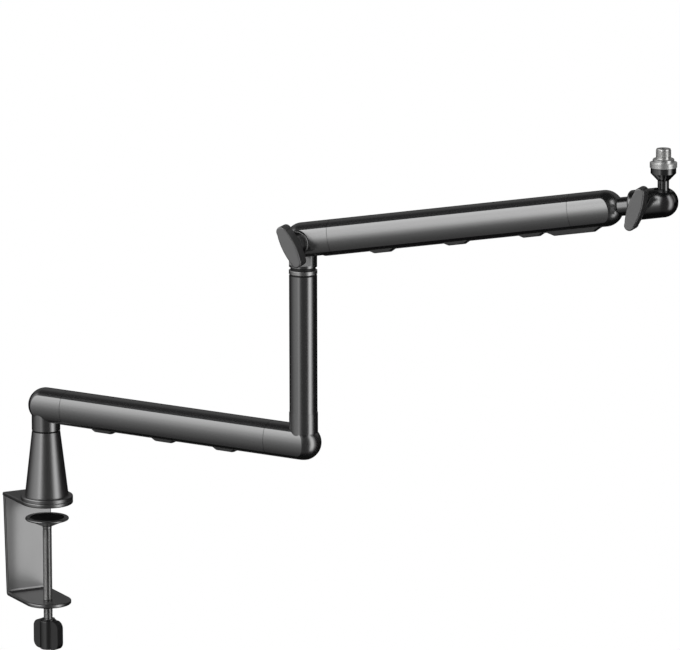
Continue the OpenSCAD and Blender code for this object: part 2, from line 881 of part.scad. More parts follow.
// Front end of the upper arm, bored for the neck of the head
module upper_front_end() {
    color(dark) in_head() difference() {
        mirror([1, 0, 0]) end_piece(upper_front_l);
        bar_x(head_neck_d / 2 + run_c, neck_seat_x, 2 * arm_r);
        bar_x(neck_pin_d / 2 + run_c, -upper_front_l, neck_seat_x + 1);
        bar_x(neck_pin_d / 2 + neck_room, -upper_front_l - spigot_l - 1, neck_wall_x);
    }
}

// Cable clips under the upper arm
module upper_cable_clips() {
    color(darker) in_upper()
        for (i = [0 : clip_n - 1])
            under_cover(upper_clip_x + i * upper_clip_step, clip_l, clip_h, clip_w);
}

// Long shallow guard under the front of the upper arm
module cable_guard() {
    color(darker) in_upper() under_cover(guard_x, guard_l, guard_h, clip_w);
}

// Washers between the tongue and the two cheeks
module friction_washers() {
    inner = tongue_t / 2 + washer_gap;
    color(rubber_c) in_upper()
        for (side = [-1, 1])
            difference() {
                translate([0, side * (inner + washer_t / 2), 0])
                    bar_y(washer_d / 2, -washer_t / 2, washer_t / 2);
                bar_y(bolt_d / 2 + seat_c, -arm_w, arm_w);
            }
}

// A round boss at the hinge from the seat out to its face, on the -Y side
module boss_body(face) {
    translate([0, -boss_seat, 0]) rotate([90, 0, 0]) rotate_extrude() {
        h = face - boss_seat;
        lip_r = 1;
        square([boss_d / 2 - lip_r, h]);
        square([boss_d / 2, h - lip_r]);
        translate([boss_d / 2 - lip_r, h - lip_r]) circle(r = lip_r);
    }
}

// Boss under the elbow knob
module hinge_boss() {
    color(dark) in_upper() difference() {
        boss_body(boss_face);
        bar_y(bolt_d / 2 + seat_c, -arm_w, 0);
    }
}

// Cap over the head of the hinge bolt
module hinge_cap() {
    color(dark) in_upper() difference() {
        mirror([0, 1, 0]) boss_body(boss_face - cap_low);
        bar_y(bolt_head_d / 2 + head_room, boss_seat - 1, boss_seat + bolt_head_h + head_room);
    }
}

// Hinge bolt, from its head in the far cheek to the knob
module hinge_bolt() {
    color(steel) in_upper() {
        bar_y(bolt_d / 2, -boss_face - face_c - insert_l + bolt_end, boss_seat);
        bar_y(bolt_head_d / 2, boss_seat, boss_seat + bolt_head_h);
    }
}

// A paddle about Z: two wide arcs that run into the round ends at a slight angle
module paddle_knob() {
    lip_r = 1.5;
    end_x = knob_l / 2 - knob_end_r;
    end_half = 0.96 * knob_end_r;
    cut_x = end_x + knob_end_r / 4;
    rise = knob_w / 2 - end_half;
    belly_r = (end_x * end_x + rise * rise) / (2 * rise);
    intersection() {
        translate([0, belly_r - knob_w / 2, 0]) soft_disc(2 * belly_r, knob_t, lip_r);
        translate([0, knob_w / 2 - belly_r, 0]) soft_disc(2 * belly_r, knob_t, lip_r);
        translate([-cut_x, -knob_w, 0]) cube([2 * cut_x, 2 * knob_w, knob_t]);
    }
    for (x = [-end_x, end_x])
        translate([x, 0, 0]) soft_disc(2 * knob_end_r, knob_t, lip_r);
}

// Paddle knob that locks the elbow
module elbow_knob() {
    hub_face = boss_face + face_c;
    color(darker) in_upper() difference() {
        union() {
            translate([0, -hub_face - hub_l, 0]) rotate([0, -elbow_knob_turn, 0])
                rotate([90, 0, 0]) paddle_knob();
            bar_y(knob_hub_d / 2, -hub_face - hub_l - 1, -hub_face);
        }
        bar_y(insert_d / 2 + seat_c, -hub_face - insert_l, 0);
    }
}

// Brass insert with the elbow knob's thread
module elbow_knob_insert() {
    hub_face = boss_face + face_c;
    color(brass_c) in_upper() difference() {
        bar_y(insert_d / 2, -hub_face - insert_l, -hub_face);
        bar_y(bolt_d / 2 + run_c, -hub_face - insert_l - 1, 0);
    }
}

// Neck that turns in the arm's front end and carries the ball housing
module head_neck() {
    color(dark) in_head() {
        bar_x(neck_pin_d / 2, neck_pin_x, neck_seat_x + face_c);
        bar_x(head_neck_d / 2, neck_seat_x + face_c, housing_x);
        bar_x(housing_bore_r - seat_c, housing_x, housing_x + neck_plug_l);
    }
}

// Ring that keeps the neck in the arm's front end
module neck_clip() {
    high = neck_wall_x - face_c;
    color(steel) in_head() difference() {
        bar_x(neck_pin_d / 2 + keep_ring_w, high - keep_ring_t, high);
        bar_x(neck_pin_d / 2 + seat_c, high - keep_ring_t - 1, high + 1);
    }
}

// The space that the stem sweeps as the ball turns, seen along the hinge
module stem_sweep() {
    far = 2 * housing_d;
    half = stem_slot_w / 2;
    back_a = 90 - upper_tilt + stem_back;
    front_a = 90 - upper_tilt - stem_forward;
    for (a = [back_a, front_a])
        rotate(a) translate([0, -half]) square([far, 2 * half]);
    polygon([
        [0, 0],
        [far * cos(front_a), far * sin(front_a)],
        [far * cos((front_a + back_a) / 2), far * sin((front_a + back_a) / 2)],
        [far * cos(back_a), far * sin(back_a)]
    ]);
}

// Housing with a domed front, a seat for the ball and a slot for the stem
module ball_housing() {
    r = housing_d / 2;
    color(dark) in_head() difference() {
        translate([housing_x, 0, 0]) rotate([0, 90, 0]) rotate_extrude() {
            square([r - housing_edge_r, ball_x]);
            translate([0, housing_edge_r]) square([r, ball_x - housing_edge_r]);
            translate([r - housing_edge_r, housing_edge_r]) circle(r = housing_edge_r);
            intersection() {
                translate([0, ball_x]) circle(r = r);
                translate([0, ball_x]) square([r, r]);
            }
        }
        translate([housing_x, 0, 0]) rotate([0, 90, 0]) rotate_extrude() {
            translate([0, -1]) square([housing_bore_r, ball_x + 1]);
            intersection() {
                translate([0, ball_x]) circle(r = housing_bore_r);
                translate([0, ball_x]) square([r, r]);
            }
        }
        translate([housing_x + lock_x, 0, 0]) bar_y(lock_screw_d / 2 + run_c, -housing_d, 0);
        translate([ball_cx, 0, 0]) rotate([90, 0, 0])
            linear_extrude(stem_slot_w, center = true) stem_sweep();
    }
}

// Cup behind the ball, which the lock screw presses forward
module ball_seat() {
    color(rubber_c) in_head() difference() {
        bar_x(housing_bore_r - seat_c, seat_x, seat_front);
        translate([ball_cx, 0, 0]) sphere(r = ball_r + face_c);
    }
}

// Paddle knob that locks the ball
module lock_knob() {
    color(darker) in_head() translate([housing_x + lock_x, 0, 0]) difference() {
        translate([0, lock_back_y, 0]) rotate([0, -lock_knob_turn, 0])
            rotate([90, 0, 0]) paddle_knob();
        bar_y(lock_screw_d / 2 + seat_c, lock_end_y, 0);
    }
}

// Lock screw with a cone at its tip
module lock_screw() {
    color(steel) in_head() translate([housing_x + lock_x, 0, 0]) {
        bar_y(lock_screw_d / 2, lock_end_y, lock_tip_y);
        translate([0, lock_tip_y, 0]) rotate([-90, 0, 0])
            cylinder(r1 = lock_screw_d / 2, r2 = lock_screw_d / 2 - lock_tip_l + 1, h = lock_tip_l);
    }
}

// Ball, stem and bowl, turned in one piece
module ball_stud() {
    color(dark) in_stud() difference() {
        union() {
            sphere(r = ball_r);
            bar_z(stem_d / 2, 0, stem_h);
            translate([0, 0, stem_h])
                cylinder(r1 = stem_d / 2, r2 = bowl_d / 2, h = bowl_cone_h);
            bar_z(bowl_d / 2, bowl_z, bowl_top);
        }
        bar_z(adapter_pin_d / 2 + run_c, flange_low - adapter_pin_l, bowl_top + 1);
    }
}

// Grooved flange that turns the thread by hand
module thread_flange() {
    groove_w = 0.6;
    groove_depth = 0.6;
    mid_z = (flange_low + collar_z) / 2;
    color(steel) in_stud() difference() {
        translate([0, 0, flange_low]) soft_disc(thread_flange_d, thread_flange_h, 0.5);
        difference() {
            bar_z(thread_flange_d / 2 + 1, mid_z - groove_w / 2, mid_z + groove_w / 2);
            bar_z(thread_flange_d / 2 - groove_depth, mid_z - groove_w, mid_z + groove_w);
        }
        bar_z(adapter_pin_d / 2 + seat_c, flange_low - 1, collar_z + 1);
    }
}

// Adapter with the microphone thread outside and a smaller thread inside
module thread_adapter() {
    edge = 0.8;
    mouth_d = 11;
    flare = (mouth_d - inner_thread_d) / 2;
    color(steel) in_stud() difference() {
        union() {
            bar_z(adapter_pin_d / 2, flange_low - adapter_pin_l + face_c, collar_z);
            bar_z(collar_d / 2, collar_z, thread_z - edge);
            translate([0, 0, thread_z - edge])
                cylinder(r1 = collar_d / 2, r2 = collar_d / 2 - edge, h = edge);
            bar_z(thread_d / 2, thread_z, thread_top - edge);
            translate([0, 0, thread_top - edge])
                cylinder(r1 = thread_d / 2, r2 = thread_d / 2 - edge, h = edge);
        }
        bar_z(inner_thread_d / 2, collar_z + 1, thread_top + 1);
        translate([0, 0, thread_top - flare])
            cylinder(r1 = inner_thread_d / 2, r2 = mouth_d / 2, h = flare);
    }
}

clamp_bracket();
desk_pad();
base_flange();
base_post();
post_bushes();
post_screws();
pressure_disc();
disc_pad();
clamp_screw();
screw_clip();
clamp_knob();
thrust_washer();
base_neck();
base_spindle();
retaining_washer();
retaining_screw();
lower_rear_end();
lower_arm_tube();
lower_front_end();
lower_cable_clips();
riser_foot();
riser_screw();
riser_tube();
riser_bush();
riser_ring();
groove_washer();
yoke();
yoke_spindle();
yoke_clip();
upper_rear_end();
upper_arm_tube();
upper_front_end();
upper_cable_clips();
cable_guard();
friction_washers();
hinge_boss();
hinge_cap();
hinge_bolt();
elbow_knob();
elbow_knob_insert();
head_neck();
neck_clip();
ball_housing();
ball_seat();
lock_knob();
lock_screw();
ball_stud();
thread_flange();
thread_adapter();
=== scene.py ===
"""Looks for a low desk boom arm for a microphone.

The CAD part is loaded as a fixed frame. This script dresses its solids, builds the two pieces
with cut threads in place of their plain solids, and sets up a small studio round the arm.
"""

import logging
import math
from collections.abc import Callable
from dataclasses import dataclass, field
from enum import Enum

import bmesh
import bpy
from mathutils import Matrix, Vector


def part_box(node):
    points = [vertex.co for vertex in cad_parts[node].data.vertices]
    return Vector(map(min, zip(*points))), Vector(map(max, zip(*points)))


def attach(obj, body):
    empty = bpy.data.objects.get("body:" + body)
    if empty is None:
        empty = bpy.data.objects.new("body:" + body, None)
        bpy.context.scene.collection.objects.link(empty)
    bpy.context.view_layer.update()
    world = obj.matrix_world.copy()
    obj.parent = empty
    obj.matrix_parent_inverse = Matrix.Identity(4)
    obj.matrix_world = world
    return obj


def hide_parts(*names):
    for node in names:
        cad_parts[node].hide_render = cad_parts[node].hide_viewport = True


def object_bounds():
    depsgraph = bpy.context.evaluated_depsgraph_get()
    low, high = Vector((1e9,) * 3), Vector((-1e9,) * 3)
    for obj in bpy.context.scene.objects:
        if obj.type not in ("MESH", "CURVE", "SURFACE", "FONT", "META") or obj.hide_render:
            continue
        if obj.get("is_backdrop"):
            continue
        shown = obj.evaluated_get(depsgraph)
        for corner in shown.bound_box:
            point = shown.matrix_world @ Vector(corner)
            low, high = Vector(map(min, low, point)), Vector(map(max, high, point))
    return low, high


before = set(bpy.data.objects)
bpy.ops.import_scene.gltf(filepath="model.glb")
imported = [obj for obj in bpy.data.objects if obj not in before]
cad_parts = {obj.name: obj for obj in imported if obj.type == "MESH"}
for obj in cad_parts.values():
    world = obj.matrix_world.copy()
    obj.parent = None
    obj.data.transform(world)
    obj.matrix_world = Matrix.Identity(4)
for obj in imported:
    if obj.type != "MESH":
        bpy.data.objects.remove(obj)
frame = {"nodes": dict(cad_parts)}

LOG = logging.getLogger("boom_arm")
MM = 0.001
WELD_MM = 1e-4
SMOOTH_DEG = 35.0
SIDE_LIMIT_DEG = 180.0
RISE_LIMIT_DEG = 90.0

Nodes = bpy.types.Nodes
Socket = bpy.types.NodeSocket
Link = Callable[[Socket, Socket], bpy.types.NodeLink]
Stops = tuple[tuple[float, float], ...]


class Tone(Enum):
    """Base colours of the finishes, in linear RGB."""

    COAT = (0.0165, 0.0165, 0.0172)
    CAST = (0.0130, 0.0130, 0.0136)
    TUBE = (0.0150, 0.0150, 0.0158)
    GLOSS = (0.0070, 0.0070, 0.0074)
    PLASTIC = (0.0180, 0.0180, 0.0186)
    CLIP = (0.0110, 0.0110, 0.0114)
    RUBBER = (0.0090, 0.0090, 0.0092)
    STEEL = (0.5400, 0.5400, 0.5350)
    PLATED = (0.9300, 0.9300, 0.9200)
    RING = (0.6200, 0.6200, 0.6150)
    BRASS = (0.7800, 0.5700, 0.2400)


class Axis(Enum):
    """Where fine lines are laid: along an arm, or unturned on upright pieces."""

    UPRIGHT = "z"
    LOWER_ARM = "lower"
    UPPER_ARM = "upper"


class Pattern(Enum):
    """The shared patterns, with the names of their node groups."""

    GRAIN = "CoatGrain"
    LINES = "DrawnLines"


@dataclass(frozen=True)
class ArmLayout:
    """Which way the two arms point at rest, in degrees."""

    lower_yaw: float = -60.5
    upper_yaw: float = -48.6
    upper_tilt: float = 9.7


LAYOUT = ArmLayout()


# Node groups


class GroupBook:
    """Builds each shared node group once and hands it out."""

    def __init__(self) -> None:
        """Starts with no groups."""
        self.groups: dict[Pattern, bpy.types.NodeTree] = {}

    def get(self, pattern: Pattern) -> bpy.types.NodeTree:
        """Returns the pattern's group, built at its first use.

        Args:
            pattern: the pattern.

        Returns:
            The shader node group.
        """
        if pattern not in self.groups:
            build = self._grain if pattern is Pattern.GRAIN else self._lines
            self.groups[pattern] = build()
        return self.groups[pattern]

    @staticmethod
    def _sockets(tree: bpy.types.NodeTree, ins: dict[str, float | None],
                 outs: list[str]) -> None:
        """Adds the group's named sockets.

        Args:
            tree: the group.
            ins: input names with defaults; None makes a vector input.
            outs: output names, all plain values.
        """
        for name, value in ins.items():
            kind = "NodeSocketVector" if value is None else "NodeSocketFloat"
            item = tree.interface.new_socket(name=name, in_out="INPUT", socket_type=kind)
            if value is not None:
                item.default_value = value
        for name in outs:
            tree.interface.new_socket(name=name, in_out="OUTPUT", socket_type="NodeSocketFloat")

    @staticmethod
    def _noise(tree: bpy.types.NodeTree, size: Socket, vector: Socket, detail: float) -> Socket:
        """Adds a noise with spots of a given size.

        Args:
            tree: the group.
            size: the size in metres.
            vector: the coordinates.
            detail: the noise's detail.

        Returns:
            The noise output.
        """
        scale = tree.nodes.new("ShaderNodeMath")
        scale.operation = "DIVIDE"
        scale.inputs[0].default_value = 1.0
        noise = tree.nodes.new("ShaderNodeTexNoise")
        noise.inputs["Detail"].default_value = detail
        tree.links.new(size, scale.inputs[1])
        tree.links.new(vector, noise.inputs["Vector"])
        tree.links.new(scale.outputs[0], noise.inputs["Scale"])
        return noise.outputs["Fac"]

    def _grain(self) -> bpy.types.NodeTree:
        """Builds the group for fine coat grain over a slow mottle.

        Returns:
            The group.
        """
        tree = bpy.data.node_groups.new(Pattern.GRAIN.value, "ShaderNodeTree")
        self._sockets(tree, {"Vector": None, "Grain Size": 0.0004, "Mottle Size": 0.03},
                      ["Grain", "Mottle"])
        start, end = tree.nodes.new("NodeGroupInput"), tree.nodes.new("NodeGroupOutput")
        for size, out, detail in (("Grain Size", "Grain", 3.0), ("Mottle Size", "Mottle", 2.0)):
            noise = self._noise(tree, start.outputs[size], start.outputs["Vector"], detail)
            tree.links.new(noise, end.inputs[out])
        return tree

    def _lines(self) -> bpy.types.NodeTree:
        """Builds the group for fine lines, drawn out along X of the given vector.

        Returns:
            The group.
        """
        tree = bpy.data.node_groups.new(Pattern.LINES.value, "ShaderNodeTree")
        self._sockets(tree, {"Vector": None, "Line Size": 0.0005, "Stretch": 0.02}, ["Lines"])
        start, end = tree.nodes.new("NodeGroupInput"), tree.nodes.new("NodeGroupOutput")
        split = tree.nodes.new("ShaderNodeSeparateXYZ")
        short = tree.nodes.new("ShaderNodeMath")
        short.operation = "MULTIPLY"
        joined = tree.nodes.new("ShaderNodeCombineXYZ")
        link = tree.links.new
        link(start.outputs["Vector"], split.inputs[0])
        link(split.outputs[0], short.inputs[0])
        link(start.outputs["Stretch"], short.inputs[1])
        link(short.outputs[0], joined.inputs[0])
        link(split.outputs[1], joined.inputs[1])
        link(split.outputs[2], joined.inputs[2])
        noise = self._noise(tree, start.outputs["Line Size"], joined.outputs[0], 2.0)
        link(noise, end.inputs["Lines"])
        return tree


GROUPS = GroupBook()


# Finishes


@dataclass(frozen=True)
class Finish:
    """One finish: its colour, gloss and the fine texture over it."""

    name: str
    tone: Tone
    roughness: float
    metallic: float = 0.0
    specular: float = 0.5
    ior: float = 1.5
    grain_mm: float = 0.35
    grain_height: float = 0.02
    mottle: float = 0.06
    rough_swing: float = 0.02
    lines: Axis | None = None
    line_mm: float = 0.4
    line_height: float = 0.0

    def material(self) -> bpy.types.Material:
        """Builds the finish as a node material.

        Returns:
            The material.
        """
        mat = bpy.data.materials.new(self.name)
        mat.use_nodes = True
        nodes, link = mat.node_tree.nodes, mat.node_tree.links.new
        shader = nodes["Principled BSDF"]
        shader.inputs["Metallic"].default_value = self.metallic
        shader.inputs["Specular IOR Level"].default_value = self.specular
        shader.inputs["IOR"].default_value = self.ior
        coords = nodes.new("ShaderNodeTexCoord")
        mapping = nodes.new("ShaderNodeMapping")
        mapping.vector_type = "TEXTURE"
        mapping.inputs["Rotation"].default_value = self._turn()
        link(coords.outputs["Object"], mapping.inputs["Vector"])
        grain = nodes.new("ShaderNodeGroup")
        grain.node_tree = GROUPS.get(Pattern.GRAIN)
        grain.inputs["Grain Size"].default_value = self.grain_mm * MM
        link(mapping.outputs["Vector"], grain.inputs["Vector"])
        link(self._colour(nodes, link, grain.outputs["Mottle"]), shader.inputs["Base Color"])
        link(self._gloss(nodes, link, grain.outputs["Mottle"]), shader.inputs["Roughness"])
        normal = self._bump(nodes, link, grain.outputs["Grain"], self.grain_height)
        if self.lines is not None:
            lines = nodes.new("ShaderNodeGroup")
            lines.node_tree = GROUPS.get(Pattern.LINES)
            lines.inputs["Line Size"].default_value = self.line_mm * MM
            link(mapping.outputs["Vector"], lines.inputs["Vector"])
            normal = self._bump(nodes, link, lines.outputs["Lines"], self.line_height, normal)
        link(normal, shader.inputs["Normal"])
        return mat

    @staticmethod
    def _bump(nodes: Nodes, link: Link, height: Socket, depth_mm: float,
              under: Socket | None = None) -> Socket:
        """Adds a bump from a pattern's height.

        Args:
            nodes: the material's nodes.
            link: the material's link function.
            height: the pattern's output.
            depth_mm: the bump's distance in millimetres.
            under: the normal it lies on, if not the mesh's own.

        Returns:
            The normal output.
        """
        bump = nodes.new("ShaderNodeBump")
        bump.inputs["Distance"].default_value = depth_mm * MM
        link(height, bump.inputs["Height"])
        if under is not None:
            link(under, bump.inputs["Normal"])
        return bump.outputs["Normal"]

    def _turn(self) -> tuple[float, float, float]:
        """Gives the pattern's rotation.

        Returns:
            Angles in radians that lay X along the arm for a tube, and zeros for the rest.
        """
        if self.lines is Axis.LOWER_ARM:
            return (0.0, 0.0, math.radians(LAYOUT.lower_yaw))
        if self.lines is Axis.UPPER_ARM:
            return (0.0, -math.radians(LAYOUT.upper_tilt), math.radians(LAYOUT.upper_yaw))
        return (0.0, 0.0, 0.0)

    def _colour(self, nodes: Nodes, link: Link, mask: Socket) -> Socket:
        """Swings the tone from a little darker to a little lighter over the mottle mask.

        Args:
            nodes: the material's nodes.
            link: the material's link function.
            mask: the mottle output.

        Returns:
            The colour output.
        """
        mix = nodes.new("ShaderNodeMix")
        mix.data_type = "RGBA"
        low = tuple(c * (1 - self.mottle) for c in self.tone.value)
        high = tuple(c * (1 + self.mottle) for c in self.tone.value)
        mix.inputs["A"].default_value = (*low, 1.0)
        mix.inputs["B"].default_value = (*high, 1.0)
        link(mask, mix.inputs["Factor"])
        return mix.outputs["Result"]

    def _gloss(self, nodes: Nodes, link: Link, mask: Socket) -> Socket:
        """Swings the roughness over the mottle mask.

        Args:
            nodes: the material's nodes.
            link: the material's link function.
            mask: the mottle output.

        Returns:
            The roughness output.
        """
        spread = nodes.new("ShaderNodeMapRange")
        spread.inputs["To Min"].default_value = self.roughness - self.rough_swing
        spread.inputs["To Max"].default_value = self.roughness + self.rough_swing
        link(mask, spread.inputs["Value"])
        return spread.outputs["Result"]


POWDER = Finish("PowderCoat", Tone.COAT, 0.30, specular=1.0, ior=2.5, grain_mm=0.5,
                grain_height=0.008)
CAST = Finish("CastSatin", Tone.CAST, 0.24, specular=1.0, ior=2.5, grain_mm=0.45,
              grain_height=0.004)
LOWER_TUBE = Finish("LowerTubeSatin", Tone.TUBE, 0.25, specular=1.0, ior=2.5, grain_height=0.003,
                    lines=Axis.LOWER_ARM, line_mm=0.35, line_height=0.002)
UPPER_TUBE = Finish("UpperTubeSatin", Tone.TUBE, 0.25, specular=1.0, ior=2.5, grain_height=0.003,
                    lines=Axis.UPPER_ARM, line_mm=0.35, line_height=0.002)
RISER_TUBE = Finish("RiserTubeSatin", Tone.TUBE, 0.22, specular=1.0, ior=2.5, grain_height=0.003)
GLOSS = Finish("StudGloss", Tone.GLOSS, 0.16, specular=1.0, ior=2.05, grain_height=0.001)
HOUSING = Finish("HousingBlack", Tone.GLOSS, 0.2, specular=1.0, ior=2.05, grain_height=0.001)
KNOB = Finish("KnobMoulding", Tone.PLASTIC, 0.42, specular=1.0, ior=2.27, grain_mm=0.6,
              grain_height=0.012)
CLAMP_KNOB = Finish("ClampKnobMoulding", Tone.CLIP, 0.3, specular=1.0, ior=1.67, grain_mm=0.6,
                    grain_height=0.008)
CLIP = Finish("ClipMoulding", Tone.CLIP, 0.45, specular=1.0, ior=1.54, grain_mm=0.6,
              grain_height=0.012)
WASHER = Finish("WasherBlack", Tone.RUBBER, 0.5, specular=0.8, grain_height=0.01)
RUBBER = Finish("PadRubber", Tone.RUBBER, 0.75, specular=0.3, grain_mm=0.9, grain_height=0.05)
STEEL = Finish("ScrewSteel", Tone.STEEL, 0.3, metallic=1.0, grain_height=0.002,
               lines=Axis.UPRIGHT, line_mm=0.25, line_height=0.002)
PLATED = Finish("FlangePlated", Tone.PLATED, 0.3, metallic=0.75, grain_height=0.0003, mottle=0.02)
RING = Finish("RiserRingPlated", Tone.RING, 0.34, metallic=1.0, grain_height=0.0005, mottle=0.03)
CHROME = Finish("ThreadPlated", Tone.PLATED, 0.3, metallic=0.88, grain_height=0.0003, mottle=0.02)
BRASS = Finish("BushBrass", Tone.BRASS, 0.3, metallic=1.0)


class Wardrobe:
    """Makes each finish's material once and puts it on pieces."""

    def __init__(self) -> None:
        """Starts with no materials."""
        self.made: dict[str, bpy.types.Material] = {}

    def of(self, finish: Finish) -> bpy.types.Material:
        """Hands out a finish's material, made at its first use.

        Args:
            finish: the finish.

        Returns:
            Its material.
        """
        if finish.name not in self.made:
            self.made[finish.name] = finish.material()
        return self.made[finish.name]

    def dress(self, obj: bpy.types.Object, finish: Finish) -> None:
        """Puts a finish on every slot of an object.

        Args:
            obj: a CAD node or a new piece.
            finish: the finish it gets.
        """
        if not obj.data.materials:
            obj.data.materials.append(None)
        for index in range(len(obj.data.materials)):
            obj.data.materials[index] = self.of(finish)


WARDROBE = Wardrobe()


# Mesh tools


def piece_from(bm: bmesh.types.BMesh, name: str) -> bpy.types.Object:
    """Turns a finished bmesh in millimetres into an object at the origin.

    Args:
        bm: the mesh, which is freed.
        name: the piece's name.

    Returns:
        The new object.
    """
    bmesh.ops.remove_doubles(bm, verts=bm.verts, dist=WELD_MM)
    bmesh.ops.recalc_face_normals(bm, faces=bm.faces)
    bmesh.ops.scale(bm, vec=(MM, MM, MM), verts=bm.verts)
    for edge in bm.edges:
        edge.smooth = (edge.is_manifold
                       and edge.calc_face_angle(0.0) < math.radians(SMOOTH_DEG))
    for face in bm.faces:
        face.smooth = True
    mesh = bpy.data.meshes.new(name)
    bm.to_mesh(mesh)
    bm.free()
    obj = bpy.data.objects.new(name, mesh)
    bpy.context.scene.collection.objects.link(obj)
    return obj


def turned(profile: list[tuple[float, float]], steps: int) -> bmesh.types.BMesh:
    """Spins a profile of radius and height about Z.

    Args:
        profile: points from one end of the outline to the other.
        steps: number of steps of the full turn.

    Returns:
        The spun mesh.
    """
    bm = bmesh.new()
    verts = [bm.verts.new((r, 0.0, z)) for r, z in profile]
    edges = [bm.edges.new(pair) for pair in zip(verts, verts[1:])]
    bmesh.ops.spin(bm, geom=verts + edges, cent=(0, 0, 0), axis=(0, 0, 1), dvec=(0, 0, 0),
                   angle=math.tau, steps=steps, use_merge=True, use_duplicate=False)
    return bm


@dataclass(frozen=True)
class Thread:
    """A cut thread's ridge, in millimetres."""

    crest_r: float
    depth: float
    pitch: float
    steps: int = 40
    base_share: float = 0.44
    tip_share: float = 0.08
    sunk: float = 0.3

    @property
    def core_r(self) -> float:
        """Returns the radius of the core that carries the ridge."""
        return self.crest_r - self.depth

    def add_to(self, bm: bmesh.types.BMesh, low: float, high: float) -> None:
        """Winds the ridge round a core.

        Args:
            bm: the mesh that gets the ridge.
            low: height of the first turn's middle.
            high: height of the last turn's middle.
        """
        inner = self.core_r - self.sunk
        base, tip = self.pitch * self.base_share, self.pitch * self.tip_share
        outline = [(inner, -base), (self.core_r, -base), (self.crest_r, -tip),
                   (self.crest_r, tip), (self.core_r, base), (inner, base)]
        face = bm.faces.new([bm.verts.new((r, 0.0, low + z)) for r, z in outline])
        turns = max(1.0, (high - low) / self.pitch)
        count = int(turns * self.steps)
        made = bmesh.ops.spin(bm, geom=[face], cent=(0, 0, 0), axis=(0, 0, 1),
                              dvec=(0, 0, (high - low) / count), angle=math.tau * turns,
                              steps=count, use_merge=False, use_duplicate=False)
        ends = [f for f in made["geom_last"] if isinstance(f, bmesh.types.BMFace)]
        bmesh.ops.recalc_face_normals(bm, faces=ends)


# Sub-assemblies


@dataclass
class SubAssembly:
    """A group of CAD nodes with their finishes."""

    finishes: dict[str, Finish] = field(default_factory=dict)

    def dress(self, nodes: dict[str, bpy.types.Object]) -> None:
        """Gives each of the group's CAD nodes its finish.

        Args:
            nodes: the frame's CAD nodes by name.
        """
        for name, finish in self.finishes.items():
            WARDROBE.dress(nodes[name], finish)
            LOG.info("dressed %s in %s", name, finish.name)

    def build(self) -> None:
        """Builds the group's own pieces; a group without any adds nothing."""

    @staticmethod
    def place(obj: bpy.types.Object, body: str, slot: str, finish: Finish, *nodes: str) -> None:
        """Dresses a new piece, ties it to its body and hides the CAD nodes it stands for.

        Args:
            obj: the new piece.
            body: the CAD body it rides on.
            slot: a material slot's name; not used.
            finish: its finish.
            nodes: the CAD nodes it replaces.
        """
        WARDROBE.dress(obj, finish)
        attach(obj, body)
        if nodes:
            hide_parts(*nodes)
        LOG.info("built %s on %s", obj.name, body)


@dataclass
class DeskClamp(SubAssembly):
    """The C bracket, its pads and the clamp screw."""

    finishes: dict[str, Finish] = field(default_factory=lambda: {
        "clamp_bracket": POWDER, "desk_pad": RUBBER, "base_flange": POWDER, "base_post": POWDER,
        "post_bushes": BRASS, "post_screws": STEEL, "pressure_disc": POWDER, "disc_pad": RUBBER,
        "screw_clip": STEEL, "clamp_knob": CLAMP_KNOB,
    })
    thread: Thread = Thread(crest_r=5.0, depth=0.5, pitch=1.5)
    tip_r: float = 3.0
    tip_bevel: float = 0.3
    edge: float = 0.5
    disc_gap: float = 0.3
    plain_below_disc: float = 3.0
    plain_above_knob: float = 4.0
    runout: float = 1.0
    steps: int = 64

    def build(self) -> None:
        """Builds the threaded clamp screw in place of the plain one."""
        low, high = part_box("clamp_screw")
        disc_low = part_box("pressure_disc")[0].z / MM
        bottom, top = low.z / MM, high.z / MM
        shoulder = disc_low - self.disc_gap
        outer, core = self.thread.crest_r, self.thread.core_r
        thread_low, thread_high = bottom + self.plain_above_knob, shoulder - self.plain_below_disc
        profile = [(0.0, bottom), (outer, bottom), (outer, thread_low - self.runout),
                   (core, thread_low), (core, thread_high), (outer, thread_high + self.runout),
                   (outer, shoulder - self.edge), (outer - self.edge, shoulder),
                   (self.tip_r, shoulder), (self.tip_r, top - self.tip_bevel),
                   (self.tip_r - self.tip_bevel, top), (0.0, top)]
        bm = turned(profile, self.steps)
        self.thread.add_to(bm, thread_low, thread_high)
        self.place(piece_from(bm, "clamp_screw_threaded"), "screw", "screw_steel", STEEL,
                   "clamp_screw")


@dataclass
class LowerArm(SubAssembly):
    """The level arm with its neck and clips."""

    finishes: dict[str, Finish] = field(default_factory=lambda: {
        "thrust_washer": WASHER, "base_neck": CAST, "base_spindle": STEEL,
        "retaining_washer": STEEL, "retaining_screw": STEEL, "lower_rear_end": CAST,
        "lower_arm_tube": LOWER_TUBE, "lower_front_end": CAST, "lower_cable_clips": CLIP,
    })


@dataclass
class Riser(SubAssembly):
    """The upright tube, its bright ring and the yoke."""

    finishes: dict[str, Finish] = field(default_factory=lambda: {
        "riser_foot": CAST, "riser_screw": STEEL, "riser_tube": RISER_TUBE, "riser_bush": WASHER,
        "riser_ring": RING, "groove_washer": WASHER, "yoke": CAST, "yoke_spindle": STEEL,
        "yoke_clip": STEEL,
    })


@dataclass
class UpperArm(SubAssembly):
    """The tilting arm with its hinge and knob."""

    finishes: dict[str, Finish] = field(default_factory=lambda: {
        "upper_rear_end": CAST, "upper_arm_tube": UPPER_TUBE, "upper_front_end": CAST,
        "upper_cable_clips": CLIP, "cable_guard": CLIP, "friction_washers": WASHER,
        "hinge_boss": CAST, "hinge_cap": CAST, "hinge_bolt": STEEL, "elbow_knob": KNOB,
        "elbow_knob_insert": BRASS,
    })


